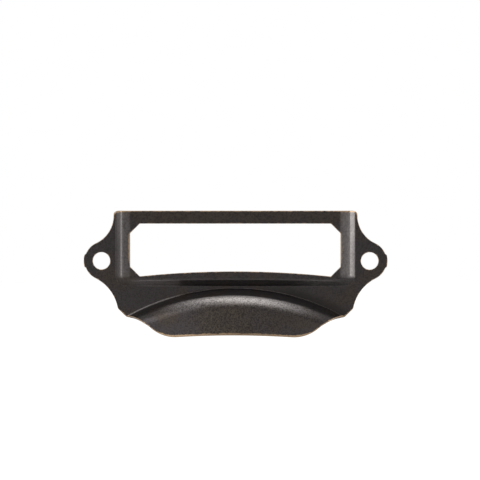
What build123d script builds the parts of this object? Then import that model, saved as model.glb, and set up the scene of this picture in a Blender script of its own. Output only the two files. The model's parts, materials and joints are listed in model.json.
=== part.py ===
from build123d import *

import os
from math import asin, cos, radians, sin, sqrt, tan

os.makedirs("parts", exist_ok=True)

# A label frame pull, pressed from one sheet. X runs to the right, Z up, and the front faces -Y.
# The back of the ears lies on the drawer front at Y = 0, and the origin is midway between the screw holes.
# Only the right half is drawn: the left half is its mirror image. All sizes are in millimetres.

# Sheet: its thickness, and the radius inside a sharp press bend
sheet = 0.65
bend_inside = 0.3

# Screw holes
hole_spacing = 62.0
hole_diameter = 4.0

# Ears: the round end lies a little inside the hole's centre, with a small land left on its tip
ear_radius = 4.5
ear_inset = 0.6
land_height = 3.1
land_radius = 6.0
land_proud = 0.22

# Outline of the plate. Its heights are measured from the line through the hole centres.
overall_height = 29.0
top_edge = 11.6
plate_width = 56.4
top_corner = 1.0
upper_neck_radius = 7.0
lower_neck_radius = 9.6
waist_width = 54.2
waist_drop = 11.0
waist_cut = 2.2

# Lip of the finger pull, seen from the front: two low points with a shallow bow between them
lip_span = 27.6
lip_low_radius = 8.5
lip_sweep_radius = 9.1
lip_bow = 0.5

# Label window: clipped corners, and a lower edge that bows upward
window_width = 48.5
window_height = 11.0
top_bar = 3.0
window_clip = 2.2
window_bow = 1.15

# Raised frame round the window, open at the top so that a label slides in behind it
frame_rise = 1.3
frame_slope = 45.0
crest_width = 52.7
crest_drop = 4.45
crest_corner = 0.6

# Finger pull: a hood that leaves the plate along an arc, with a shelf, a round shoulder and a face.
# It is deepest in the middle, and loses a share of that depth toward its ends.
hood_radius = 52.0
hood_drop = 6.45
hood_reach = 8.4
hood_taper = 0.65
lip_flare = 0.6
shelf_slope = 13.0
hood_root_bend = 0.45
hood_shoulder = 3.5
hood_section_count = 9

# How far one region of sheet runs on into its neighbour, so that they join in one solid
lap = 0.1

# Places that follow from the sizes above
hole_x = hole_spacing / 2
ear_x = hole_x - ear_inset
plate_x = plate_width / 2
waist_x = waist_width / 2
lip_low_z = top_edge - overall_height
lip_mid_z = lip_low_z + lip_bow
hood_axis_z = -hood_drop - hood_radius
hood_depth = hood_reach + lip_flare


def bend_length(radius, turn):
    """Length from the corner of a bend to where its arc ends, for a turn in degrees."""
    return radius * tan(radians(turn) / 2)


def circles_meet(first, first_radius, second, second_radius):
    """Point where two circles cross, on the left of the line from the first to the second."""
    apart = second - first
    distance = apart.length
    along = (first_radius**2 - second_radius**2 + distance**2) / (2 * distance)
    aside = sqrt(first_radius**2 - along**2)
    forward = apart.normalized()
    return first + forward * along + Vector(-forward.Y, forward.X) * aside


def arc_about(centre, start, end):
    """Draws the shorter arc from start to end about a centre."""
    middle = (start + end) / 2 - centre
    radius = (start - centre).length
    ThreePointArc(start, centre + middle.normalized() * radius, end)


def neck_centre(side_x, radius, direction):
    """Centre of the hollow arc that runs from a plate side at side_x into the round ear."""
    x = side_x + radius
    z = sqrt((radius + ear_radius) ** 2 - (x - ear_x) ** 2)
    return Vector(x, direction * z)


# Centres of the arcs in the right half of the outline
ear = Vector(ear_x, 0)
corner = Vector(plate_x - top_corner, top_edge - top_corner)
upper_neck = neck_centre(plate_x, upper_neck_radius, 1)
lower_neck = neck_centre(waist_x, lower_neck_radius, -1)
low_point = Vector(lip_span / 2, lip_low_z + lip_low_radius)
bow_radius = (low_point.X**2 + (lip_low_radius - lip_bow) ** 2 - lip_low_radius**2) / (2 * lip_bow)
bow = Vector(0, lip_mid_z - bow_radius)

# Points where those arcs end
upper_tangent = ear + (upper_neck - ear).normalized() * ear_radius
lower_tangent = ear + (lower_neck - ear).normalized() * ear_radius
land_half = land_height / 2
land = Vector(ear_x + ear_radius + land_proud - land_radius, 0)
land_foot_x = ear_x + sqrt(ear_radius**2 - land_half**2)
land_edge_x = land.X + sqrt(land_radius**2 - land_half**2)
waist_rise = lower_neck.Y + waist_drop
waist = Vector(lower_neck.X - sqrt(lower_neck_radius**2 - waist_rise**2), -waist_drop)
lip_start = waist - Vector(waist_cut, waist_cut)
sweep_centre = circles_meet(lip_start, lip_sweep_radius, low_point, lip_sweep_radius + lip_low_radius)
inflection = low_point + (sweep_centre - low_point).normalized() * lip_low_radius
bow_start = low_point + (bow - low_point).normalized() * lip_low_radius

# Right half of the outline, as seen from the front
with BuildSketch(Plane.XZ) as half_outline:
    with BuildLine():
        Line((0, top_edge), (corner.X, top_edge))
        arc_about(corner, Vector(corner.X, top_edge), Vector(plate_x, corner.Y))
        Line((plate_x, corner.Y), (plate_x, upper_neck.Y))
        arc_about(upper_neck, Vector(plate_x, upper_neck.Y), upper_tangent)
        arc_about(ear, upper_tangent, Vector(land_foot_x, land_half))
        Line((land_foot_x, land_half), (land_edge_x, land_half))
        arc_about(land, Vector(land_edge_x, land_half), Vector(land_edge_x, -land_half))
        Line((land_edge_x, -land_half), (land_foot_x, -land_half))
        arc_about(ear, Vector(land_foot_x, -land_half), lower_tangent)
        arc_about(lower_neck, lower_tangent, waist)
        Line(waist, lip_start)
        arc_about(sweep_centre, lip_start, inflection)
        arc_about(low_point, inflection, bow_start)
        arc_about(bow, bow_start, Vector(0, lip_mid_z))
        Line((0, lip_mid_z), (0, top_edge))
    make_face()

# Right half of the label window
window_x = window_width / 2
window_top = top_edge - top_bar
window_mid_z = window_top - window_height
window_low_z = window_mid_z - window_bow
clip_x = window_x - window_clip
window_bow_centre = Vector(0, window_mid_z - (clip_x**2 + window_bow**2) / (2 * window_bow))
with BuildSketch(Plane.XZ) as half_window:
    with BuildLine():
        Polyline(
            (0, window_mid_z),
            (0, window_top),
            (clip_x, window_top),
            (window_x, window_top - window_clip),
            (window_x, window_low_z + window_clip),
            (clip_x, window_low_z),
        )
        arc_about(window_bow_centre, Vector(clip_x, window_low_z), Vector(0, window_mid_z))
    make_face()

# Thick section of the frame's side, from the raised panel down its slope to the plate
crest_bend = bend_inside + sheet
crest_run = bend_length(crest_bend, frame_slope) + lap
slope_run = frame_rise / tan(radians(frame_slope))
foot_run = bend_length(bend_inside, frame_slope)
loop_z = crest_run - crest_drop
frame_line = [
    (-sheet - frame_rise, loop_z),
    (-sheet - frame_rise, -crest_drop),
    (-sheet, -crest_drop - slope_run),
    (-sheet, -crest_drop - slope_run - foot_run - lap),
]

# Finger pull: how far its root bend runs into the plate, the fall of its shelf, and its turn from middle to end
root_run = bend_length(hood_root_bend, 90 - shelf_slope)
shelf_drop = (hood_reach - sheet) * tan(radians(shelf_slope))
hood_turn = asin((waist.X + lap) / hood_radius)


def hood_line(turn):
    """Front line of the finger pull's section at a turn from its middle, from the plate to below its lip.

    Its second coordinates are measured from the axis of the hood's arc.
    """
    share = 1 - hood_taper * (hood_radius * sin(turn) / waist.X) ** 2
    return [
        (-sheet, hood_radius + root_run + lap),
        (-sheet, hood_radius),
        (-sheet - (hood_reach - sheet) * share, hood_radius - shelf_drop),
        (-sheet - (hood_depth - sheet) * share, lip_mid_z - lap - hood_axis_z),
    ]


def pressed_section(front_line, bends, plane=Plane.YZ):
    """Section of the sheet, drawn in a plane from its front line and the radii of its bends."""
    with BuildSketch(plane) as section:
        with BuildLine():
            front = FilletPolyline(*front_line, radius=bends)
            offset(front, amount=sheet, side=Side.LEFT, mode=Mode.ADD)
        make_face()
    return section.sketch


def frame_corners(reach):
    """Corners of the right half of a U round the raised panel, larger than the panel by a given reach."""
    side_x = crest_width / 2 - crest_run + reach
    low_z = loop_z - reach
    return (0, low_z), (side_x, low_z), (side_x, top_edge + lap)


def frame_field(reach):
    """Right half of the field inside that U."""
    corners = frame_corners(reach)
    with BuildSketch(Plane.XZ) as field:
        with BuildLine():
            FilletPolyline(*corners, radius=crest_corner + reach)
            Polyline(corners[-1], (0, top_edge + lap), corners[0])
        make_face()
    return field.sketch


with BuildPart() as label_frame_pull:
    # Flat plate with its ears, left open where the frame and the hood rise out of it
    extrude(half_outline.sketch, amount=sheet)
    with BuildSketch(Plane.XZ):
        with Locations((0, hood_axis_z)):
            Circle(hood_radius + root_run)
    extrude(amount=sheet, mode=Mode.SUBTRACT)
    extrude(frame_field(crest_run + slope_run + foot_run), amount=sheet, mode=Mode.SUBTRACT)

    # Raised panel, and the sloping side that joins it to the plate
    panel = frame_field(0).moved(Location((0, -frame_rise, 0)))
    extrude(panel, amount=sheet)
    with BuildLine(Plane.XZ) as frame_path:
        FilletPolyline(*frame_corners(0), radius=crest_corner)
    frame_side = pressed_section(frame_line, [crest_bend, bend_inside])
    sweep(sections=frame_side, path=frame_path.line)

    # Hood of the finger pull, lofted through sections that fan out from an axis far below the lip
    hood_sections = []
    for index in range(hood_section_count):
        turn = hood_turn * (2 * index / (hood_section_count - 1) - 1)
        plane = Plane(origin=(0, 0, hood_axis_z), x_dir=(0, 1, 0), z_dir=(cos(turn), 0, -sin(turn)))
        hood_sections.append(pressed_section(hood_line(turn), [hood_root_bend, hood_shoulder], plane))
    loft(sections=hood_sections)

    # All of it trimmed to the outline, then pierced for the label and for the screw
    extrude(half_outline.sketch, amount=hood_depth + lap, mode=Mode.INTERSECT)
    extrude(half_window.sketch, amount=sheet + frame_rise, mode=Mode.SUBTRACT)
    with BuildSketch(Plane.XZ):
        with Locations((hole_x, 0)):
            Circle(hole_diameter / 2)
    extrude(amount=sheet, mode=Mode.SUBTRACT)

    # The left half
    mirror(about=Plane.YZ)

label_frame_pull.part.label = "label_frame_pull"
export_step(label_frame_pull.part, "parts/label_frame_pull.step")
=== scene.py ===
import json
from math import asin, ceil, pi, radians, sin, sqrt, tan

import bpy
import numpy as np
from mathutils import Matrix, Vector
from mathutils.geometry import delaunay_2d_cdt
from mathutils.kdtree import KDTree


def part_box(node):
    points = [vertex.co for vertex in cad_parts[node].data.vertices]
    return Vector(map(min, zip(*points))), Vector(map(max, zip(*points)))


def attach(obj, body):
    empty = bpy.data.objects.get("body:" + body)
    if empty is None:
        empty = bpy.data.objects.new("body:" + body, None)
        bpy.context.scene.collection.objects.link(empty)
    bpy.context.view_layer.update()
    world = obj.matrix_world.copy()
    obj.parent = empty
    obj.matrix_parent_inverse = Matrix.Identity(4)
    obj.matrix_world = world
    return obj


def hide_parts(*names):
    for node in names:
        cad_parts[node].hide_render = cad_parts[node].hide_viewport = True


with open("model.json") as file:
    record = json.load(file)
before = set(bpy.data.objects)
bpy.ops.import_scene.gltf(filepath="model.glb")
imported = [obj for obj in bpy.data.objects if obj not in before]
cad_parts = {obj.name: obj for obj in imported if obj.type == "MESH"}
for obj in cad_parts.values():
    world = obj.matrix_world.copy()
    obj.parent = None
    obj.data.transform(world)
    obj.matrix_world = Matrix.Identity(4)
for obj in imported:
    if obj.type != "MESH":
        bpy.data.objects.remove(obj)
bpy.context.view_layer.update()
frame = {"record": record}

# The pressing: one piece of thin steel, blanked and pierced, then pressed in a die so that a frame stands up
# round the label window and a hood for the fingers stands out below it. It is fixed by a screw in each ear.
# Sizes here are millimetres. A point of the front view is a complex number: right is real, up is imaginary.
metres = 0.001
low, high = (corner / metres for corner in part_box("label_frame_pull"))
mounts = {mount["name"]: mount for mount in frame["record"]["mounts"]}
holes = mounts["screw_holes"]["dims"]

# The sheet, and how far the blanking die rounds its cut edge
sheet = 0.65
edge_round = 0.15

# Ears: a round end with a small land left on its tip
ear_radius = 4.5
ear_inset = 0.6
land_height = 3.1
land_radius = 6.0

# Plate outline
top_edge = high.z
plate_x = 28.2
top_corner = 1.0
upper_neck_radius = 7.0
lower_neck_radius = 9.6
waist_x = 27.1
waist_drop = 11.0
waist_cut = 2.2

# Lip of the hood
lip_low_x = 13.8
lip_low_radius = 8.5
lip_sweep_radius = 9.1
lip_bow = 0.5

# Label window, with clipped corners and a lower edge that bows upward
window_x = 24.25
window_height = 11.0
top_bar = 3.0
window_clip = 2.2
window_bow = 1.15

# Spacing of the points on the sheet, along its cut edges, and on the curves that they are first drawn with,
# and the distance within which two points are the same
point_gap = 0.42
edge_gap = 0.14
drawn_gap = 0.03
same_point = 1e-6


def arc(centre, start, end):
    """Points along the shorter arc from start to end about a centre."""
    first = start - centre
    turn = np.angle((end - centre) / first)
    steps = max(2, ceil(abs(turn * first) / drawn_gap))
    return centre + first * np.exp(1j * turn * np.linspace(0, 1, steps + 1))


def straight(*corners):
    """Points along straight lines from corner to corner."""
    runs = []
    for a, b in zip(corners, corners[1:]):
        runs.append(np.linspace(a, b, ceil(abs(b - a) / drawn_gap), endpoint=False))
    return np.concatenate(runs + [corners[-1:]])


def circles_meet(first, first_radius, second, second_radius):
    """Point where two circles cross, on the left of the line from the first to the second."""
    apart = second - first
    along = (first_radius**2 - second_radius**2 + abs(apart) ** 2) / (2 * abs(apart))
    return first + apart / abs(apart) * (along + 1j * sqrt(first_radius**2 - along**2))


def neck_centre(side_x, radius, direction):
    """Centre of the hollow arc that runs from a plate side into the round ear."""
    x = side_x + radius
    return x + 1j * direction * sqrt((radius + ear_radius) ** 2 - (x - ear) ** 2)


def both_halves(right_half):
    """A closed loop from its right half, which runs clockwise from the middle of its top."""
    loop = np.concatenate([right_half, -np.conj(right_half[::-1])])
    return loop[np.abs(loop - np.roll(loop, 1)) > same_point]


# Centres of the outline's arcs, and the points where the arcs end
hole_x = holes["spacing_x_mm"] / 2
ear = hole_x - ear_inset
corner = plate_x - top_corner + 1j * (top_edge - top_corner)
upper_neck = neck_centre(plate_x, upper_neck_radius, 1)
lower_neck = neck_centre(waist_x, lower_neck_radius, -1)
upper_tangent = ear + ear_radius * (upper_neck - ear) / abs(upper_neck - ear)
lower_tangent = ear + ear_radius * (lower_neck - ear) / abs(lower_neck - ear)
land_half = land_height / 2
land = high.x - land_radius
land_foot = ear + sqrt(ear_radius**2 - land_half**2) + 1j * land_half
land_edge = land + sqrt(land_radius**2 - land_half**2) + 1j * land_half
waist_rise = lower_neck.imag + waist_drop
waist = lower_neck.real - sqrt(lower_neck_radius**2 - waist_rise**2) - 1j * waist_drop
lip_start = waist - waist_cut * (1 + 1j)
lip_mid = 1j * (low.z + lip_bow)
low_point = lip_low_x + 1j * (low.z + lip_low_radius)
bow_radius = (lip_low_x**2 + (lip_low_radius - lip_bow) ** 2 - lip_low_radius**2) / (2 * lip_bow)
bow = lip_mid - 1j * bow_radius
sweep_centre = circles_meet(lip_start, lip_sweep_radius, low_point, lip_sweep_radius + lip_low_radius)
inflection = low_point + lip_low_radius * (sweep_centre - low_point) / abs(sweep_centre - low_point)
bow_start = low_point + lip_low_radius * (bow - low_point) / abs(bow - low_point)
outline = both_halves(np.concatenate([
    straight(1j * top_edge, corner + 1j * top_corner),
    arc(corner, corner + 1j * top_corner, corner + top_corner),
    straight(corner + top_corner, plate_x + 1j * upper_neck.imag),
    arc(upper_neck, plate_x + 1j * upper_neck.imag, upper_tangent),
    arc(ear, upper_tangent, land_foot),
    straight(land_foot, land_edge),
    arc(land, land_edge, land_edge.conjugate()),
    straight(land_edge.conjugate(), land_foot.conjugate()),
    arc(ear, land_foot.conjugate(), lower_tangent),
    arc(lower_neck, lower_tangent, waist),
    straight(waist, lip_start),
    arc(sweep_centre, lip_start, inflection),
    arc(low_point, inflection, bow_start),
    arc(bow, bow_start, lip_mid),
]))

# The window and the screw holes run the other way round, so that a loop always has the sheet on its right
window_top = 1j * (top_edge - top_bar)
window_mid = window_top - 1j * window_height
clip_x = window_x - window_clip
window_low = clip_x + window_mid - 1j * window_bow
window_bow_centre = window_mid - 1j * (clip_x**2 + window_bow**2) / (2 * window_bow)
window = both_halves(np.concatenate([
    straight(
        window_top,
        window_top + clip_x,
        window_top + window_x - 1j * window_clip,
        window_low + window_clip * (1 + 1j),
        window_low,
    ),
    arc(window_bow_centre, window_low, window_mid),
]))[::-1]
hole_steps = ceil(2 * pi * holes["hole_r_mm"] / drawn_gap)
screw_hole = holes["hole_r_mm"] * np.exp(2j * pi * np.arange(hole_steps) / hole_steps)

# The raised frame: its crest runs down one side, along under the window and up the other side, and its slope
# falls from the crest to the plate. Inside the crest the sheet is flat.
frame_rise = 1.3
frame_slope = 45.0
crest_x = 26.35
crest_drop = 4.45
crest_corner = 1.09
crest_bend = 0.95
foot_bend = 0.3

# The hood: it leaves the plate along an arc about an axis far below, as a shelf, a round shoulder and a
# face. It is deepest in the middle, and loses a share of that depth toward its ends.
hood_radius = 52.0
hood_drop = 6.45
hood_reach = 8.4
hood_taper = 0.65
lip_flare = 0.6
shelf_slope = 13.0
root_bend = 0.45
shoulder_bend = 3.5

# Steps round each bend, and how far the flats beside the frame's bends are drawn, in bend radii
bend_steps = 8
flat_beside_bend = 1.5


def pressed_line(corners, bends):
    """Stations along the front of the bent sheet, from corners given as plan distance + 1j * height.

    Returns each station's plan distance, its height, the sheet's tilt, and its distance along the sheet.
    """
    heading = np.angle(np.diff(corners))
    places, tilts = [corners[0]], [heading[0]]
    for corner_place, before, after, radius in zip(corners[1:-1], heading, heading[1:], bends):
        tilt = np.linspace(before, after, bend_steps + 1)
        side = 1j * np.sign(after - before) * radius
        start = corner_place - np.exp(1j * before) * radius * tan(abs(after - before) / 2)
        places.extend(start + side * (np.exp(1j * before) - np.exp(1j * tilt)))
        tilts.extend(tilt)
    places = np.array(places + [corners[-1]])
    tilts.append(heading[-1])
    along = places.real[0] + np.append(0, np.cumsum(np.abs(np.diff(places))))
    return places.real, places.imag, np.array(tilts), along


def no_wider_than(gap, stations):
    """The same stations, with more of them set evenly where two are wider apart than a gap."""
    runs = [np.linspace(a, b, ceil((b - a) / gap), endpoint=False) for a, b in zip(stations, stations[1:])]
    return np.append(np.concatenate(runs), stations[-1])


slope_run = frame_rise / tan(radians(frame_slope))
frame_corners = [
    -flat_beside_bend * crest_bend + 1j * (sheet + frame_rise),
    1j * (sheet + frame_rise),
    slope_run + 1j * sheet,
    slope_run + flat_beside_bend * foot_bend + 1j * sheet,
]
frame_plan, frame_heights, frame_tilts, _ = pressed_line(np.array(frame_corners), [crest_bend, foot_bend])
crest_centre = crest_x - crest_corner + 1j * (crest_corner - crest_drop)
shelf_drop = (hood_reach - sheet) * tan(radians(shelf_slope))
face_drop = -hood_drop - lip_mid.imag
hood_axis = -1j * (hood_drop + hood_radius)


def hood_section(turn):
    """Stations down the hood's sheet, at a turn from the middle of the hood about its axis."""
    share = 1 - hood_taper * (hood_radius * sin(turn) / waist.real) ** 2
    corners = [
        -root_bend + 1j * sheet,
        1j * sheet,
        shelf_drop + 1j * (sheet + (hood_reach - sheet) * share),
        face_drop + 1j * (sheet + (hood_reach + lip_flare - sheet) * share),
    ]
    return pressed_line(np.array(corners), [root_bend, shoulder_bend])


# The stations of one section of the hood are pressed from the same numbered places as those of any other. A
# point's distance down the sheet is measured in the middle section.
section_gap = 0.01
section_turns = section_gap * np.arange(1 + ceil(asin(waist.real / hood_radius) / section_gap))
hood_sections = [hood_section(turn) for turn in section_turns]
hood_plan, hood_height, hood_tilt, hood_along = np.swapaxes(hood_sections, 0, 1)

# A place looked up in a table stays short of the end by this much, so that it always has a next one
short_of_end = 1.001


def at_section(table, turn, station):
    """Value of one of the hood's tables between its sections and its stations."""
    row = np.clip(np.abs(turn) / section_gap, 0, len(table) - short_of_end)
    column = np.clip(station, 0, table.shape[1] - short_of_end)
    i, j = row.astype(int), column.astype(int)
    down, on = row - i, column - j
    left = table[i, j] * (1 - on) + table[i, j + 1] * on
    right = table[i + 1, j] * (1 - on) + table[i + 1, j + 1] * on
    return left * (1 - down) + right * down


def station_at(length):
    """Number of the station at a distance down the middle section."""
    return np.interp(length, hood_along[0], np.arange(hood_along.shape[1]))


def turn_of(from_axis):
    """Turn of points from the middle of the hood, to the right."""
    return np.arctan2(from_axis.real, from_axis.imag)


def down_hood(blank):
    """Distance of points of the blank down the sheet from the hood's root. On the plate it is below 0."""
    return hood_radius - np.abs(blank - hood_axis)


def press(blank):
    """Presses points of the flat blank. Returns their places on the sheet's front, and the way it faces."""
    # The frame: how far out from its crest each point lies, and the way its slope faces
    out_x = np.abs(blank.real) - crest_centre.real
    out_z = crest_centre.imag - blank.imag
    from_centre = np.hypot(out_x, out_z)
    on_corner = (out_x > 0) & (out_z > 0)
    reach = np.where(on_corner, from_centre, np.maximum(out_x, out_z)) - crest_corner
    outward = np.where(on_corner, (out_x - 1j * out_z) / from_centre, np.where(out_x > out_z, 1, -1j))
    outward = np.sign(blank.real) * outward.real + 1j * outward.imag
    frame_height = np.interp(reach, frame_plan, frame_heights)
    frame_tilt = np.interp(reach, frame_plan, frame_tilts)

    # The hood: its section at each point, and how the sections change along its arc
    from_axis = blank - hood_axis
    inward = -from_axis / np.abs(from_axis)
    turn = turn_of(from_axis)
    length = down_hood(blank)
    station = station_at(length)
    distance = np.where(length < hood_along[0, 0], length, at_section(hood_plan, turn, station))
    rise = at_section(hood_height, turn, station)
    tilt = at_section(hood_tilt, turn, station)
    after, before = turn + section_gap, turn - section_gap
    rises = at_section(hood_height, after, station) - at_section(hood_height, before, station)
    sinks = at_section(hood_plan, after, station) - at_section(hood_plan, before, station)
    sideways = 1j * inward * (rises - np.tan(tilt) * sinks) / (2 * section_gap * (hood_radius - distance))

    # Both heights hold the thickness of the sheet, so it is taken off once
    seen = hood_axis - inward * (hood_radius - distance)
    lean = -np.tan(frame_tilt) * outward - np.tan(tilt) * inward - sideways
    places = np.stack([seen.real, sheet - frame_height - rise, seen.imag], 1)
    facing = np.stack([lean.real, -np.ones(len(lean)), lean.imag], 1)
    return places, facing / np.linalg.norm(facing, axis=1)[:, None]


# Steps of the search for a place on the blank, each half as long as the one before
search_steps = 30


def flatten(seen):
    """Points of the flat blank that are pressed to places seen in the front view."""
    from_axis = seen - hood_axis
    turn = turn_of(from_axis)
    distance = hood_radius - np.abs(from_axis)
    station = np.full(len(seen), hood_along.shape[1] / 2)
    step = station / 2
    for _ in range(search_steps):
        station += np.where(at_section(hood_plan, turn, station) < distance, step, -step)
        step = step / 2
    length = np.interp(station, np.arange(hood_along.shape[1]), hood_along[0])
    length = np.where(distance < hood_plan[0, 0], distance, length)
    return hood_axis + from_axis / np.abs(from_axis) * (hood_radius - length)


def outward_of(loop):
    """Direction that points out of the sheet, at each point of a loop."""
    along = np.roll(loop, -1) - np.roll(loop, 1)
    return 1j * along / np.abs(along)


def evenly(loop, gap):
    """A closed loop, drawn again with evenly spaced points."""
    closed = np.append(loop, loop[0])
    along = np.append(0, np.cumsum(np.abs(np.diff(closed))))
    count = ceil(along[-1] / gap)
    return np.interp(np.arange(count) * along[-1] / count, along, closed)


def tree_of(points):
    """Search tree of complex points."""
    tree = KDTree(len(points))
    for index, point in enumerate(points):
        tree.insert((point.real, point.imag, 0), index)
    tree.balance()
    return tree


def gap_to(tree, points):
    """Distance from each point to the nearest one in a tree."""
    return np.array([tree.find((point.real, point.imag, 0))[2] for point in points])


# Rounds in which the width of the edge that shows is settled, the share of the rounding that a point keeps
# from the cut where a corner is tight, and rounds of smoothing
showing_rounds = 8
kept_share = 0.97
smoothing_rounds = 2


def blanked(loop):
    """Edge of the flat face of the blank, inside one loop of the front view by the rounding of the cut edge.

    Where the sheet leans, its thickness shows from the front, so the face ends short of the loop by as much.
    """
    outward = outward_of(loop)
    shows = np.zeros(len(loop))
    for _ in range(showing_rounds):
        _, facing = press(flatten(loop - outward * shows))
        lean = -(facing[:, 0] * outward.real + facing[:, 2] * outward.imag)
        shows = (shows + sheet * np.maximum(lean, 0)) / 2
    cut = evenly(flatten(loop - outward * shows), drawn_gap)
    inner = cut - outward_of(cut) * edge_round
    inner = inner[gap_to(tree_of(cut), inner) > kept_share * edge_round]
    edge = evenly(inner, edge_gap)
    for _ in range(smoothing_rounds):
        edge = (np.roll(edge, 1) + 2 * edge + np.roll(edge, -1)) / 4
    return edge


edges = [blanked(loop) for loop in (outline, window, screw_hole + hole_x, screw_hole - hole_x)]


def on_sheet(points):
    """True for each point that lies on the blank, inside its outline and outside its openings."""
    crossings = np.zeros(len(points), bool)
    for edge in edges:
        for start, end in zip(edge, np.roll(edge, -1)):
            run = end - start
            if run.imag:
                level = (start.imag > points.imag) != (end.imag > points.imag)
                crossing = start.real + (points.imag - start.imag) * run.real / run.imag
                crossings ^= level & (points.real < crossing)
    return crossings


# Fewest points that a row has round a corner of the frame
fewest_round_corner = 3


def row_round_frame(reach):
    """Points along the frame at a distance out from its crest, down one side and up the other."""
    radius = crest_corner + reach
    side = crest_centre + radius
    foot = crest_centre - 1j * radius
    side_count = ceil((top_edge - side.imag) / point_gap)
    down = np.linspace(side.real + 1j * top_edge, side, side_count, endpoint=False)
    corner_count = max(fewest_round_corner, ceil(pi / 2 * radius / point_gap))
    turn = np.exp(-0.5j * pi * np.linspace(0, 1, corner_count, endpoint=False))
    across = np.linspace(foot, 1j * foot.imag, ceil(foot.real / point_gap))
    half = np.concatenate([down, crest_centre + radius * turn, across])
    return np.concatenate([half, -np.conj(half[-2::-1])])


def row_along_hood(length):
    """Points along the hood at a distance down the sheet from its root."""
    radius = hood_radius - length
    half_turn = asin(waist_x / hood_radius)
    count = ceil(2 * half_turn * radius / point_gap)
    return hood_axis + 1j * radius * np.exp(1j * np.linspace(half_turn, -half_turn, count))


# Points of the blank: its edges, rows along every bend, and an even spread over the flats between them. A
# row keeps a share of the spacing clear of the edges, and the spread keeps a larger share clear of both. The
# flat blank reaches further down than the pressed hood.
row_clearance = 0.5
spread_clearance = 0.7
hood_spare = 20
rows = [row_round_frame(reach) for reach in no_wider_than(point_gap, frame_plan)]
rows += [row_along_hood(length) for length in no_wider_than(point_gap, hood_along[0])]
points = list(np.concatenate(edges))
lines = []
for edge in edges:
    first = len(lines)
    lines.extend((first + i, first + (i + 1) % len(edge)) for i in range(len(edge)))
edge_tree = tree_of(points)
for row in rows:
    usable = on_sheet(row) & (gap_to(edge_tree, row) > row_clearance * point_gap)
    for place, keep, kept_before in zip(row, usable, np.append(False, usable)):
        if keep and kept_before:
            lines.append((len(points) - 1, len(points)))
        if keep:
            points.append(place)
columns = np.arange(-high.x, high.x, point_gap)
levels = np.arange(low.z - hood_spare, top_edge, point_gap * sqrt(3) / 2)
across, up = np.meshgrid(columns, levels)
across[::2] += point_gap / 2
spread = (across + 1j * up).ravel()
spread = spread[on_sheet(spread)]
row_tree = tree_of(points)
points.extend(spread[gap_to(row_tree, spread) > spread_clearance * point_gap])

# The blank as triangles
merged_within = 1e-7
flat = [Vector((point.real, point.imag)) for point in points]
blank, _, triangles, *_ = delaunay_2d_cdt(flat, lines, [], 0, merged_within)
blank = np.array([point.x + 1j * point.y for point in blank])
triangles = np.array(triangles)
triangles = triangles[on_sheet(blank[triangles].mean(1))]

# The pressed sheet: its front, its back, and a rim round every cut edge, with corners that are rounded but
# squarer than a half circle
rim_steps = 8
rim_square = 0.6
front, facing = press(blank)
turns = np.linspace(0, pi, rim_steps + 1)[1:-1]
rim_out = edge_round * np.sin(turns) ** rim_square
rim_deep = sheet / 2 * (1 - np.sign(np.cos(turns)) * np.abs(np.cos(turns)) ** rim_square)
rim_faces_out = np.sin(turns) ** (2 - rim_square) / edge_round
rim_faces_front = np.sign(np.cos(turns)) * np.abs(np.cos(turns)) ** (2 - rim_square) / (sheet / 2)
places = [front, front - sheet * facing]
normals = [facing, -facing]
faces = [tuple(t) for t in triangles] + [tuple(t[::-1] + len(front)) for t in triangles]
rim_share = [np.zeros(2 * len(front))]
made = 2 * len(front)
first = 0
for edge in edges:
    count = len(edge)
    here = np.arange(first, first + count)
    along = np.roll(front[here], -1, 0) - np.roll(front[here], 1, 0)
    out = np.cross(facing[here], along)
    out /= np.linalg.norm(out, axis=1)[:, None]
    rings = [here]
    for step in range(rim_steps - 1):
        places.append(front[here] + rim_out[step] * out - rim_deep[step] * facing[here])
        normals.append(rim_faces_out[step] * out + rim_faces_front[step] * facing[here])
        rim_share.append(np.full(count, np.sin(turns[step])))
        rings.append(np.arange(made, made + count))
        made += count
    rings.append(here + len(front))
    for upper, lower in zip(rings, rings[1:]):
        faces.extend(zip(upper, np.roll(upper, -1), np.roll(lower, -1), lower))
    first += count
places = np.concatenate(places)
normals = np.concatenate(normals)
normals /= np.linalg.norm(normals, axis=1)[:, None]

mesh = bpy.data.meshes.new("pressed_sheet")
mesh.from_pydata((places * metres).tolist(), [], [tuple(int(i) for i in face) for face in faces])
mesh.shade_smooth()
mesh.normals_split_custom_set_from_vertices(normals.tolist())
pressing = bpy.data.objects.new("pressed_sheet", mesh)
bpy.context.scene.collection.objects.link(pressing)
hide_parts("label_frame_pull")
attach(pressing, "root")


def step_up(value, start, fade):
    """Rises smoothly from 0 to 1 across a start, over about four times the fade."""
    return 1 / (1 + np.exp((start - value) / fade))


def step_down(value, end, fade):
    """Falls smoothly from 1 to 0 across an end, over about four times the fade."""
    return step_up(-value, -end, fade)


def line_along(value, middle, half_width):
    """1 along a line, and less the further a point lies to either side of it."""
    return np.exp(-((value - middle) / half_width) ** 2)


# Rub and painted highlight on the frame's two sides, from the window's edge to the foot of the slope, and
# most on the crest; more on the right side, which faces the light. It ends halfway round the corner of the
# crest.
left_side_rub_and_highlight = 0.48
right_side_rub_and_highlight = 0.67
side_inset = 0.1
side_fade = 0.12
side_end_drop = 0.5
side_end_fade = 0.15
crest_rub_and_highlight = 0.22
crest_line = 0.4
crest_inset = 0.2
foot_fade = 0.1


def rub_and_highlight_of_sides(blank):
    """How far the frame's sides carry rub and painted highlight, from 0 to 1."""
    across = np.abs(blank.real)
    on_side = step_up(across, window_x - side_inset, side_fade)
    on_side *= step_down(across, crest_x + slope_run, foot_fade)
    on_side *= step_up(blank.imag, crest_centre.imag - side_end_drop, side_end_fade)
    side_rub_and_highlight = np.where(blank.real < 0, left_side_rub_and_highlight, right_side_rub_and_highlight)
    return on_side * (side_rub_and_highlight + crest_rub_and_highlight * line_along(across, crest_x - crest_inset, crest_line))
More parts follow.
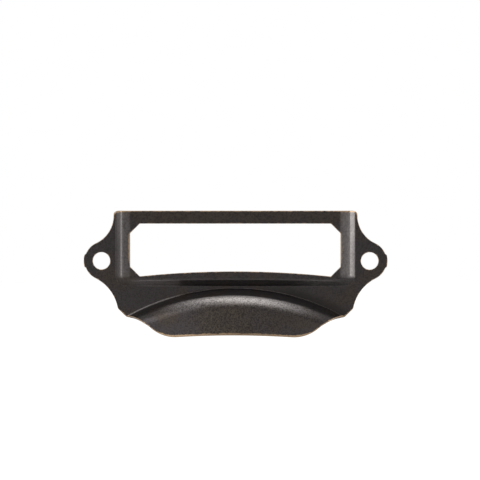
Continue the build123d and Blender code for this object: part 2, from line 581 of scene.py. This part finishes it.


# Rub and painted light on the frame's slope under the window, with more painted light at its left and right
# ends, and a little rub and painted highlight on its crest
low_crest_rub_and_highlight = 0.2
slope_rub_and_light = 0.47
slope_inset = 0.8
slope_end_fade = 1.3
left_end = 12.8
left_end_light = 0.53
left_end_fade = 0.25
right_end = 15.0
right_end_light = 0.3
right_end_fade = 1.0


def rub_and_light_of_low_slope(blank):
    """How far the slope under the window carries rub and painted light, from 0 to 1."""
    under_window = step_down(np.abs(blank.real), window_x - slope_inset, slope_end_fade)
    below_crest = -crest_drop - blank.imag
    crest = low_crest_rub_and_highlight * line_along(below_crest, -crest_inset, crest_line)
    at_left = left_end_light * step_down(blank.real, -left_end, left_end_fade)
    at_right = right_end_light * step_up(blank.real, right_end, right_end_fade)
    on_slope = step_up(below_crest, 0, foot_fade) * step_down(below_crest, slope_run, foot_fade)
    return under_window * np.maximum(crest, on_slope * (slope_rub_and_light + at_left + at_right))


# A painted highlight on the left end of the hood's root, rub and painted highlight on the crown of its
# shoulder, and less on the middle of its face. The crown is a distance down the sheet from the root, a
# little more toward the right. The rub and highlight end sharply above it and softly below it.
root_highlight = 1.0
root_line = 0.4
root_line_drop = 0.1
root_end = 12.8
root_end_fade = 1.0
crown = 6.9
crown_lean = 0.02
crown_above = 1.2
above_power = 8
crown_below = 2.2
below_power = 2
left_crown_half = 14.7
right_crown_half = 16.5
crown_end_power = 4
face_rub_and_light = 0.34
face_half = 14.0
face_fade = 0.2


def rub_and_highlight_of_hood(blank):
    """How far the hood carries rub and painted highlight, from 0 to 1."""
    length = down_hood(blank)
    at_left = step_down(blank.real, -root_end, root_end_fade)
    root = root_highlight * at_left * line_along(length, root_line_drop, root_line)
    past_crown = length - crown - crown_lean * blank.real
    above = (past_crown / crown_above) ** above_power
    below = (past_crown / crown_below) ** below_power
    crown_half = np.where(blank.real < 0, left_crown_half, right_crown_half)
    shoulder = np.exp(-np.where(past_crown < 0, above, below) - (blank.real / crown_half) ** crown_end_power)
    face = face_rub_and_light * step_up(past_crown, -crown_above, face_fade) * line_along(blank.real, 0, face_half)
    return np.max([root, shoulder, face], axis=0)


# Where the finish is brownest: the bar above the window, and the middle of the hood's face
brown_bar_fade = 0.3
brown_bar_end_fade = 0.5
brown_half = 8.0
brown_face_fade = 0.5


def browned_at(blank):
    """How far the finish of the blank leans to brown, from 0 to 1."""
    bar = step_up(blank.imag, window_top.imag, brown_bar_fade)
    bar *= step_down(np.abs(blank.real), window_x, brown_bar_end_fade)
    face = step_up(down_hood(blank) - crown, crown_below, brown_face_fade)
    face *= line_along(blank.real, 0, brown_half)
    return np.maximum(bar, face)


# Painted shade in the hollow above the hood's root, on its right half, where the hood shades the plate. It
# reaches further up the plate the nearer it is to the end.
shade_start = 3.0
shade_run = 10.0
shade_reach = 1.6
shade_fade = 0.35
shade_end = 0.6
shade_end_fade = 0.2


def painted_shade_at(blank):
    """How much shade is painted on the blank, from 0 to 1."""
    share = np.clip((blank.real - shade_start) / shade_run, 0, 1)
    length = down_hood(blank)
    in_hollow = step_up(length, -shade_reach * share, shade_fade)
    in_hollow *= step_down(length, shade_end, shade_end_fade)
    return share * in_hollow


# The grain of the finish: strong on the hood, where the sheet is stretched most, and fainter elsewhere
plate_grain = 0.35
grain_start = 1.5
grain_fade = 0.4


def grain_at(blank):
    """How strong the grain is, from 0 to 1."""
    return plate_grain + (1 - plate_grain) * step_up(down_hood(blank), grain_start, grain_fade)


# How wide the cut edges are worn back to the copper: widest where a label or a finger slides over them, and
# at the two ends of the top edge
edge_wear = -0.01
top_wear = 0.05
top_wear_reach = 1.0
top_wear_fade = 0.1
window_wear = 0.24
window_wear_inside = 0.2
window_wear_outside = 0.9
window_wear_fade = 0.05
window_wear_half = 3.4
window_wear_end_fade = 0.3
lip_wear = 0.14
lip_wear_fade = 0.4
lip_mid_wear = 0.26
lip_mid_past = 1.0
lip_mid_fade = 0.5
corner_wear = 0.25
corner_reach = 2.2


def worn_at(blank):
    """Width of the worn band beside a cut edge. Below 0 there is hardly any."""
    across = np.abs(blank.real)
    beside_window = step_up(across, window_x - window_wear_inside, window_wear_fade)
    beside_window *= step_down(across, window_x + window_wear_outside, window_wear_fade)
    from_window_mid = np.abs(blank.imag - (window_mid.imag + window_top.imag) / 2)
    beside_window *= step_down(from_window_mid, window_wear_half, window_wear_end_fade)
    on_top = step_up(blank.imag, top_edge - top_wear_reach, top_wear_fade)
    in_lip_middle = step_down(across, lip_low_x + lip_mid_past, lip_mid_fade)
    lip = step_down(blank.imag, waist.imag, lip_wear_fade) * (lip_wear + lip_mid_wear * in_lip_middle)
    from_corner = np.abs(across + 1j * blank.imag - crest_x - 1j * top_edge)
    on_corner = line_along(from_corner, 0, corner_reach)
    return edge_wear + window_wear * beside_window + top_wear * on_top + lip + corner_wear * on_corner


# What the finish needs to know of each point of the mesh: the front and the back first, then the rims
on_blank = [blank, blank]
for edge in edges:
    on_blank.extend([edge] * (rim_steps - 1))
on_blank = np.concatenate(on_blank)
on_front = np.arange(len(places)) < len(front)
from_edge = np.zeros(len(places))
from_edge[: 2 * len(front)] = np.tile(gap_to(edge_tree, blank), 2)
from_edge -= edge_round * np.concatenate(rim_share)
# Rub with painted highlights, painted shade, brownness, grain and width of wear, for each point
rub_and_highlight_at = np.max([rub_and_highlight_of_sides(on_blank), rub_and_light_of_low_slope(on_blank), rub_and_highlight_of_hood(on_blank)], axis=0)
for name, values in (
    ("from_edge", from_edge),
    ("rubbed_and_highlit", rub_and_highlight_at * on_front),
    ("browned", browned_at(on_blank) * on_front),
    ("painted_shade", painted_shade_at(on_blank) * on_front),
    ("grained", grain_at(on_blank)),
    ("worn", worn_at(on_blank)),
):
    mesh.attributes.new(name, "FLOAT", "POINT").data.foreach_set("value", values)

# Finish of the pressing: copper plated, turned black, tumbled so that the metal shows again where it is worn
# by rubbing, and lacquered. The blackening is uneven, with a fine grain. The cut edges are worn to the
# copper.
# Highlights are painted in as worn metal too, and shade is painted into the hollow right of the hood.
finish = bpy.data.materials.new("antique_bronze")
finish.use_nodes = True
metal = finish.node_tree.nodes["Principled BSDF"]
pressing.data.materials.append(finish)

# Colours of the finish: the darkest one, for pits, also paints the shade, and the worn metal colours also
# paint the highlights
black_colour = (0.042, 0.036, 0.037, 1)
brown_colour = (0.048, 0.038, 0.031, 1)
pit_and_shade_colour = (0.020, 0.017, 0.016, 1)
rubbed_and_highlight_colour = (0.215, 0.200, 0.194, 1)
brown_rubbed_and_highlight_colour = (0.218, 0.176, 0.140, 1)
copper_colour = (0.300, 0.213, 0.138, 1)


def node(kind, inputs=(), **settings):
    """Adds a node to the finish. Inputs are pairs of a socket's name or number and a value or an output."""
    added = finish.node_tree.nodes.new("ShaderNode" + kind)
    for name, value in settings.items():
        setattr(added, name, value)
    for socket, value in inputs:
        if isinstance(value, bpy.types.NodeSocket):
            finish.node_tree.links.new(value, added.inputs[socket])
        else:
            added.inputs[socket].default_value = value
    return added


def sum_of(first, second):
    return node("Math", [(0, first), (1, second)], operation="ADD").outputs[0]


def product(first, second):
    return node("Math", [(0, first), (1, second)], operation="MULTIPLY").outputs[0]


def ramp(value, start, end, low_value=0.0, high_value=1.0):
    """Eases from one value to another as the input runs from a start to an end."""
    inputs = [("Value", value), ("From Min", start), ("From Max", end)]
    inputs += [("To Min", low_value), ("To Max", high_value)]
    return node("MapRange", inputs, interpolation_type="SMOOTHSTEP").outputs["Result"]


def mix_colour(share, first, second):
    """Sockets 6 and 7 of a mix are its two colours, and its output 2 is the mixed one."""
    return node("Mix", [(0, share), (6, first), (7, second)], data_type="RGBA").outputs[2]


def attribute(name):
    return node("Attribute", attribute_name=name).outputs["Fac"]


place = node("TexCoord").outputs["Object"]
place_mm = node("VectorMath", [(0, place), (3, 1 / metres)], operation="SCALE").outputs[0]


def noise(per_mm, detail=2.0):
    """Smooth noise with that many features in a millimetre."""
    return node("TexNoise", [("Vector", place_mm), ("Scale", per_mm), ("Detail", detail)]).outputs["Fac"]


cloud = noise(per_mm=0.16)
mottle = noise(per_mm=1.3, detail=3.0)
grain = noise(per_mm=3.4, detail=1.0)


def about_zero(value, size):
    """A noise, moved to lie about zero and made that many times as large."""
    return product(sum_of(value, -0.5), size)


# The worn band: from the front of the sheet round the corner of the cut, and less on the middle of the cut
# face. Its inner edge wanders with the mottling.
band_wander = 0.5
band_edge = (-0.04, 0.12)
cut_face = (-0.148, -0.11)
cut_face_wear = 0.25
from_cut = attribute("from_edge")
band = sum_of(attribute("worn"), about_zero(mottle, band_wander))
on_band = ramp(sum_of(band, product(from_cut, -1)), *band_edge)
copper_share = product(on_band, ramp(from_cut, *cut_face, low_value=cut_face_wear))

# Metal shown by rubbing, and painted highlights, on the crowns of the bends, broken up by the grain
rub_and_highlight_break = 0.9
rub_and_highlight_range = (0.1, 1.2)
rubbed_and_highlit = attribute("rubbed_and_highlit")
grained = attribute("grained")
broken = product(product(rubbed_and_highlit, grained), about_zero(grain, rub_and_highlight_break))
rub_and_highlight_share = ramp(sum_of(rubbed_and_highlit, broken), *rub_and_highlight_range)

# The colours: clouds of brown in the black, pits in the grain, painted shade, then worn metal and painted
# highlights
brown_lean = 0.25
brown_mottle = 0.4
brown_range = (0.45, 0.67)
pit_range = (0.52, 0.38)
deepest_pit = 0.6
speck_range = (0.56, 0.36)
deepest_speck = 0.45
browned = attribute("browned")
brownness = sum_of(sum_of(cloud, product(browned, brown_lean)), about_zero(mottle, brown_mottle))
blacking = mix_colour(ramp(brownness, *brown_range), black_colour, brown_colour)
pitted = mix_colour(ramp(grain, *pit_range, high_value=deepest_pit), blacking, pit_and_shade_colour)
# Painted shade in the hollow right of the hood
painted_shade = mix_colour(attribute("painted_shade"), pitted, pit_and_shade_colour)
# Worn metal colour, which also paints the highlights
bare_and_highlit = mix_colour(browned, rubbed_and_highlight_colour, brown_rubbed_and_highlight_colour)
specks = product(grained, ramp(grain, *speck_range, high_value=deepest_speck))
speckled = mix_colour(specks, bare_and_highlit, pit_and_shade_colour)
bared_and_highlit = mix_colour(rub_and_highlight_share, painted_shade, speckled)
finish.node_tree.links.new(mix_colour(copper_share, bared_and_highlit, copper_colour), metal.inputs["Base Color"])

# The lacquer makes all but the copper a little less metallic, and its gloss varies with the mottling
lacquered_metallic = 0.8
gloss_grain = 0.5
gloss_range = (0.3, 0.7)
smoothest = 0.28
roughest = 0.39
metallic = ramp(copper_share, 0.0, 1.0, lacquered_metallic, 1.0)
finish.node_tree.links.new(metallic, metal.inputs["Metallic"])
uneven = sum_of(mottle, about_zero(grain, gloss_grain))
finish.node_tree.links.new(ramp(uneven, *gloss_range, smoothest, roughest), metal.inputs["Roughness"])

# The orange-peel grain
peel_grain = 0.6
peel_mottle = 0.4
peel_strength = 0.7
peel_depth = 0.05
peel = product(grained, sum_of(product(grain, peel_grain), product(mottle, peel_mottle)))
bump = node("Bump", [("Strength", peel_strength), ("Distance", peel_depth * metres), ("Height", peel)])
finish.node_tree.links.new(bump.outputs["Normal"], metal.inputs["Normal"])

# The floor: a plain pale sheet, some way below the part, because the part is fixed to a drawer and not stood
# up. It is lifted toward white away from the part's shadow. From below it is clear, so that the part can be
# looked at from there.
floor_drop = 0.07
floor_half = 3.0
floor_white = 0.8
lift_starts = 0.10
lift_ends = 0.45
lift_near = 0.3
lift_far = 0.8
floor_z = low.z * metres - floor_drop
floor_corners = [(x * floor_half, y * floor_half, floor_z) for x, y in ((-1, -1), (1, -1), (1, 1), (-1, 1))]
floor_mesh = bpy.data.meshes.new("floor")
floor_mesh.from_pydata(floor_corners, [], [(0, 1, 2, 3)])
floor = bpy.data.objects.new("floor", floor_mesh)
bpy.context.scene.collection.objects.link(floor)


def white_to_view(tree):
    """Output that is 1 for rays from the camera or by way of gloss or glass, and 0 for diffuse light."""
    path = tree.nodes.new("ShaderNodeLightPath")
    seen = path.outputs["Is Camera Ray"]
    for name in ("Is Glossy Ray", "Is Transmission Ray"):
        larger = tree.nodes.new("ShaderNodeMath")
        larger.operation = "MAXIMUM"
        tree.links.new(seen, larger.inputs[0])
        tree.links.new(path.outputs[name], larger.inputs[1])
        seen = larger.outputs[0]
    return seen


paper = bpy.data.materials.new("floor_paper")
paper.use_nodes = True
tree = paper.node_tree
tree.nodes.clear()
paper_output = tree.nodes.new("ShaderNodeOutputMaterial")
paper_sum = tree.nodes.new("ShaderNodeAddShader")
paper_diffuse = tree.nodes.new("ShaderNodeBsdfDiffuse")
paper_diffuse.inputs["Color"].default_value = (floor_white, floor_white, floor_white, 1)
paper_lift = tree.nodes.new("ShaderNodeEmission")
paper_place = tree.nodes.new("ShaderNodeTexCoord")
paper_distance = tree.nodes.new("ShaderNodeVectorMath")
paper_distance.operation = "LENGTH"
lift_range = tree.nodes.new("ShaderNodeMapRange")
lift_range.interpolation_type = "SMOOTHSTEP"
lift_range.inputs["From Min"].default_value = lift_starts
lift_range.inputs["From Max"].default_value = lift_ends
lift_range.inputs["To Min"].default_value = lift_near
lift_range.inputs["To Max"].default_value = lift_far
lift_strength = tree.nodes.new("ShaderNodeMath")
lift_strength.operation = "MULTIPLY"
paper_side = tree.nodes.new("ShaderNodeNewGeometry")
paper_clear = tree.nodes.new("ShaderNodeBsdfTransparent")
paper_mix = tree.nodes.new("ShaderNodeMixShader")
tree.links.new(paper_place.outputs["Object"], paper_distance.inputs[0])
tree.links.new(paper_distance.outputs["Value"], lift_range.inputs["Value"])
tree.links.new(white_to_view(tree), lift_strength.inputs[0])
tree.links.new(lift_range.outputs["Result"], lift_strength.inputs[1])
tree.links.new(lift_strength.outputs[0], paper_lift.inputs["Strength"])
tree.links.new(paper_diffuse.outputs[0], paper_sum.inputs[0])
tree.links.new(paper_lift.outputs[0], paper_sum.inputs[1])
tree.links.new(paper_side.outputs["Backfacing"], paper_mix.inputs[0])
tree.links.new(paper_sum.outputs[0], paper_mix.inputs[1])
tree.links.new(paper_clear.outputs[0], paper_mix.inputs[2])
tree.links.new(paper_mix.outputs[0], paper_output.inputs["Surface"])
floor.data.materials.append(paper)

# The studio round the part: a plain room that is white to look at, and dimmer as a light. Three softboxes
# stand in it, one above the part, one to its right and one in front of it on the left.
room_light = 0.4
room_white = 1.0
world = bpy.data.worlds.new("studio")
world.use_nodes = True
bpy.context.scene.world = world
tree = world.node_tree
background = tree.nodes["Background"]
background.inputs["Color"].default_value = (1, 1, 1, 1)
room = tree.nodes.new("ShaderNodeMapRange")
room.inputs["To Min"].default_value = room_light
room.inputs["To Max"].default_value = room_white
tree.links.new(white_to_view(tree), room.inputs["Value"])
tree.links.new(room.outputs["Result"], background.inputs["Strength"])


def softbox(name, place, width, depth, brightness):
    """A soft rectangular lamp that faces the part. Its brightness is that of its face, where 1 is white."""
    lamp = bpy.data.lights.new(name, "AREA")
    lamp.shape = "RECTANGLE"
    lamp.size = width
    lamp.size_y = depth
    lamp.energy = brightness * pi * width * depth
    holder = bpy.data.objects.new(name, lamp)
    holder.location = place
    holder.rotation_euler = Vector(place).to_track_quat("Z", "Y").to_euler()
    holder.visible_camera = False
    bpy.context.scene.collection.objects.link(holder)


softbox("overhead_box", place=(0.03, -0.12, 0.6), width=0.38, depth=0.68, brightness=2.5)
softbox("right_box", place=(0.7, -0.02, 0.05), width=0.4, depth=0.5, brightness=3.7)
softbox("key_box", place=(-0.58, -0.52, 0.22), width=0.5, depth=0.5, brightness=2.7)

# A grey card behind the camera, upright and square to the part, so that the flat metal does not mirror a
# white room. The camera doesn't see it.
card_distance = 0.95
card_half_width = 1.0
card_half_height = 0.7
card_brightness = 0.45
card_corners = []
for x, z in ((-1, -1), (-1, 1), (1, 1), (1, -1)):
    card_corners.append((x * card_half_width, -card_distance, z * card_half_height))
card_mesh = bpy.data.meshes.new("grey_card")
card_mesh.from_pydata(card_corners, [], [(0, 1, 2, 3)])
card = bpy.data.objects.new("grey_card", card_mesh)
card.visible_camera = False
bpy.context.scene.collection.objects.link(card)
card_grey = bpy.data.materials.new("card_grey")
card_grey.use_nodes = True
tree = card_grey.node_tree
tree.nodes.clear()
card_output = tree.nodes.new("ShaderNodeOutputMaterial")
card_glow = tree.nodes.new("ShaderNodeEmission")
card_glow.inputs["Strength"].default_value = card_brightness
tree.links.new(card_glow.outputs[0], card_output.inputs["Surface"])
card_mesh.materials.append(card_grey)

# The camera: a long lens in front of the part, a little to its right and above it. It aims a little above
# the line of the screw holes, and its view is over half as wide again as the part.
view_distance = 0.6
view_right = 0.020
view_up = 0.011
view_span = 0.1109
aim_right = 0.00106
aim_up = 0.00482
camera_data = bpy.data.cameras.new("camera")
camera_data.sensor_width = 36.0
camera_data.lens = camera_data.sensor_width * view_distance / view_span
camera = bpy.data.objects.new("camera", camera_data)
camera.location = (view_right, -view_distance, view_up)
aim = Vector((aim_right, 0, aim_up))
camera.rotation_euler = (aim - camera.location).to_track_quat("-Z", "Y").to_euler()
bpy.context.scene.collection.objects.link(camera)
bpy.context.scene.camera = camera
bpy.context.scene.view_settings.view_transform = "Standard"
